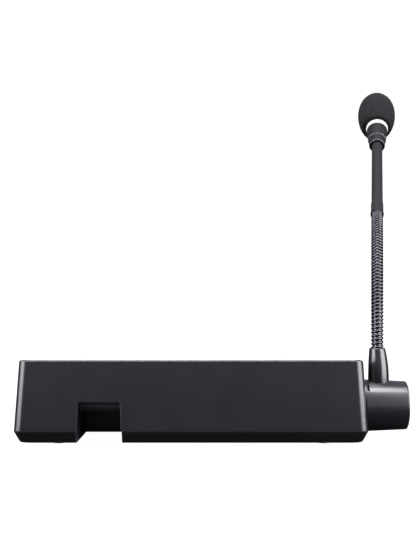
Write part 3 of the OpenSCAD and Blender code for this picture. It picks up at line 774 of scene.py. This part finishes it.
def make_grille():
    """Pierced metal sleeve round the capsule, with a plain closed end."""
    columns, rows, hole, wall = 26, 12, 0.31, 0.45
    start, end = RING_END + 0.6, GRILLE_END - 2.4
    bm = bmesh.new()

    def on_side(column, row):
        """The corner_of of one cell, with every other row moved by half a cell."""
        def point(u, v, depth):
            a = math.tau * (column + u + 0.5 * (row % 2)) / columns
            r = GRILLE_R - depth
            return head_place @ (Vector((r * math.cos(a), r * math.sin(a),
                                         start + (end - start) * (row + v) / rows)) * MM)
        return point

    for row in range(rows):
        for column in range(columns):
            add_pierced_cell(bm, on_side(column, row), hole, wall)
    bmesh.ops.remove_doubles(bm, verts=bm.verts, dist=0.01 * MM)
    segments = columns * 2
    end_line = [(GRILLE_R, end), (GRILLE_R, GRILLE_END - 1.6), (GRILLE_R - 0.5, GRILLE_END - 0.6),
                (GRILLE_R - 1.4, GRILLE_END - 0.1), (GRILLE_R - 2, GRILLE_END), (0, GRILLE_END),
                (0, GRILLE_END - wall), (GRILLE_R - 2, GRILLE_END - wall),
                (GRILLE_R - 1.2, GRILLE_END - 0.9), (GRILLE_R - wall, end)]
    rear_line = [(GRILLE_R - wall, start), (GRILLE_R - wall, RING_AT + 0.5), (GRILLE_R, RING_AT + 0.5),
                 (GRILLE_R, start)]
    for line in (end_line, rear_line):
        rings = add_turned(bm, line, head_place, segments)
        open_ends = [f for f in bm.faces if all(v in rings[0] or v in rings[-1] for v in f.verts)]
        bmesh.ops.delete(bm, geom=open_ends, context="FACES_ONLY")
    bmesh.ops.remove_doubles(bm, verts=bm.verts, dist=0.02 * MM)
    flat_faces_first(piece("grille", bm, "head", ["capsule_grille"], sharp=30))


def make_windscreen():
    """Open-cell foam ball with a pored surface and a socket for the grille."""
    def radius_at(s, half, power):
        """The foam's radius at s from its widest place, towards an end that is half away."""
        return FOAM_R * (1 - (abs(s) / half) ** power) ** (1 / power)

    rear, lip = FOAM_AT - FOAM_WIDE, 0.9
    outer = [(radius_at(s, FOAM_REAR, 2), FOAM_WIDE + s)
             for s in (rear * (1 - k / 70) for k in range(1, 71))]
    outer += [(radius_at(s, FOAM_FRONT, 2.28), FOAM_WIDE + s)
              for s in (FOAM_FRONT * math.sin(math.pi / 2 * k / 90) for k in range(1, 90))]
    edge = [(outer[0][0] - lip - 0.25 + lip * math.sin(a), FOAM_AT + lip * (1 - math.cos(a)) * 0.6)
            for a in (math.radians(15 * k) for k in range(6))]
    socket_r = GRILLE_R + 0.3
    socket = [(0, GRILLE_END + 0.6), (socket_r, GRILLE_END + 0.6), (socket_r, FOAM_AT + 0.3),
              (socket_r + 0.3, FOAM_AT)]
    bm = bmesh.new()
    add_turned(bm, socket + edge + outer + [(0, FOAM_END)], head_place, 300)
    bmesh.ops.recalc_face_normals(bm, faces=bm.faces)
    bm.normal_update()
    pore_depth, roughness, socket_side = 0.15, 0.13, GRILLE_R + 1.2
    base = head_place.inverted()
    for v in bm.verts:
        local = base @ v.co / MM
        if math.hypot(local.x, local.y) < socket_side and local.z < FOAM_WIDE:
            continue
        pore = max(0.0, 1 - noise.voronoi(local / 0.75)[0][0] / 0.55)
        rough = noise.noise(local / 1.1) * 0.8 + noise.noise(local / 0.45) * 0.4
        v.co += (v.normal * (roughness * rough - pore_depth * pore) + neck_side * FOAM_ASIDE) * MM
    piece("foam_screen", bm, "windscreen", ["windscreen"], sharp=180)


# ---- Stage ---------------------------------------------------------------

LAMP_COLOUR = (1.0, 0.975, 1.035)
ROOM_COLOUR = (0.99, 0.95, 1.13)
aim = Vector((console_mid, rear_wall + 60 * MM, 60 * MM))


def add_lamp(name, size, level, colour):
    """A rectangular light of a size in metres, whose face is as bright as level times a white surface."""
    data = bpy.data.lights.new(name, "AREA")
    data.shape = "RECTANGLE"
    data.size, data.size_y = size
    data.energy = level * math.pi * data.size * data.size_y
    data.color = colour
    lamp = bpy.data.objects.new(name, data)
    lamp.visible_camera = False
    bpy.context.scene.collection.objects.link(lamp)
    return lamp


def softbox(name, azimuth, elevation, width, height, level, distance=1.2, colour=LAMP_COLOUR):
    """A light round the object, with its angles in degrees. Azimuth 0 is behind the console."""
    a, e = math.radians(azimuth), math.radians(elevation)
    away = Vector((math.sin(a) * math.cos(e), -math.cos(a) * math.cos(e), math.sin(e)))
    size = [2 * distance * math.tan(math.radians(angle / 2)) for angle in (width, height)]
    lamp = add_lamp(name, size, level, colour)
    lamp.location = aim + away * distance
    lamp.rotation_euler = away.to_track_quat("Z", "Y").to_euler()


def desk_glow(name, x, y, width, depth, level, glossy=True):
    """Light that the desk throws up. x is from the console's middle and y from its rear wall."""
    lamp = add_lamp(name, (width * MM, depth * MM), level, ROOM_COLOUR)
    lamp.location = (console_mid + x * MM, rear_wall + y * MM, 0.5 * MM)
    lamp.rotation_euler = (math.pi, 0, 0)
    lamp.visible_glossy = glossy


def make_lights():
    """Boxes at both sides for the long highlights, one above, and the desk's own light from below."""
    softbox("left_box", -62, 10, 44, 34, 14.0)
    softbox("left_high_box", -62, 42, 38, 26, 7.0)
    softbox("right_box", 62, 10, 44, 34, 14.0, distance=0.55)
    softbox("right_high_box", 62, 42, 40, 26, 6.0)
    softbox("top_box", 0, 78, 44, 22, 26.0)
    softbox("low_box", 0, 6, 50, 5, 1.3, colour=ROOM_COLOUR)
    desk_glow("notch_glow", -55, 10, 24, 20, 1.3)
    desk_glow("wall_glow", 0, -15, 215, 16, 0.12)
    foot_r = 4.5
    foot_rear = (feet_low.y - rear_wall) / MM
    for foot in (feet_low.x / MM + foot_r, feet_high.x / MM - foot_r):
        desk_glow("foot_glow", foot - console_mid / MM, foot_rear - 6.5, 12, 11, 2.5, glossy=False)


def make_world():
    """White behind the object for the camera, and for everything else a dim room that is darker low down."""
    world = bpy.data.worlds.new("studio")
    world.use_nodes = True
    tree = world.node_tree
    kinds = {"place": "ShaderNodeTexCoord", "split": "ShaderNodeSeparateXYZ", "white": "ShaderNodeBackground",
             "path": "ShaderNodeLightPath", "choice": "ShaderNodeMixShader"}
    nodes = {key: tree.nodes.new(kind) for key, kind in kinds.items()}
    room = tree.nodes["Background"]
    room.inputs["Color"].default_value = (*ROOM_COLOUR, 1)
    tree.links.new(nodes["place"].outputs["Generated"], nodes["split"].inputs[0])
    tree.links.new(ramp(tree, nodes["split"].outputs["Z"], 0.0, 0.2, 0.02, 0.5), room.inputs["Strength"])
    nodes["white"].inputs["Color"].default_value = (1, 1, 1, 1)
    nodes["white"].inputs["Strength"].default_value = 1.05
    tree.links.new(nodes["path"].outputs["Is Camera Ray"], nodes["choice"].inputs[0])
    tree.links.new(room.outputs[0], nodes["choice"].inputs[1])
    tree.links.new(nodes["white"].outputs[0], nodes["choice"].inputs[2])
    tree.links.new(nodes["choice"].outputs[0], tree.nodes["World Output"].inputs["Surface"])
    bpy.context.scene.world = world


def floor_finish():
    """Almost white to the camera with a faint shadow and an emission a little dimmer towards the middle as painted
    shade, and dark to everything that the floor lights.
    """
    material = bpy.data.materials.new("floor")
    material.use_nodes = True
    tree = material.node_tree
    tree.nodes.clear()
    kinds = {"seen": "ShaderNodeEmission", "lit": "ShaderNodeBsdfDiffuse", "both": "ShaderNodeAddShader",
             "dim": "ShaderNodeBsdfDiffuse", "path": "ShaderNodeLightPath", "choice": "ShaderNodeMixShader",
             "place": "ShaderNodeTexCoord", "far": "ShaderNodeVectorMath", "out": "ShaderNodeOutputMaterial"}
    nodes = {key: tree.nodes.new(kind) for key, kind in kinds.items()}
    nodes["far"].operation = "LENGTH"
    nodes["lit"].inputs["Color"].default_value = (0.1, 0.1, 0.1, 1)
    nodes["dim"].inputs["Color"].default_value = (0.019, 0.018, 0.023, 1)
    tree.links.new(nodes["place"].outputs["Object"], nodes["far"].inputs[0])
    # Painted shade: the floor's emission is a little dimmer towards the middle, round the object.
    glow = ramp(tree, nodes["far"].outputs["Value"], 0.35, 0.9, 0.985, 1.02)
    tree.links.new(glow, nodes["seen"].inputs["Strength"])
    tree.links.new(nodes["seen"].outputs[0], nodes["both"].inputs[0])
    tree.links.new(nodes["lit"].outputs[0], nodes["both"].inputs[1])
    tree.links.new(nodes["path"].outputs["Is Camera Ray"], nodes["choice"].inputs[0])
    tree.links.new(nodes["dim"].outputs[0], nodes["choice"].inputs[1])
    tree.links.new(nodes["both"].outputs[0], nodes["choice"].inputs[2])
    tree.links.new(nodes["choice"].outputs[0], nodes["out"].inputs["Surface"])
    return material


def make_floor():
    """A pale sheet, 12 metres wide."""
    bm = bmesh.new()
    bmesh.ops.create_grid(bm, x_segments=1, y_segments=1, size=6)
    mesh = bpy.data.meshes.new("floor")
    bm.to_mesh(mesh)
    bm.free()
    mesh.materials.append(floor_finish())
    floor = bpy.data.objects.new("floor", mesh)
    bpy.context.scene.collection.objects.link(floor)


make_casing()
make_keys()
make_jack()
make_boot()
make_gooseneck()
make_shank()
make_tube()
make_holder()
make_ring()
make_capsule()
make_grille()
make_windscreen()
make_lights()
make_world()
make_floor()
bpy.context.scene.view_settings.view_transform = "Standard"
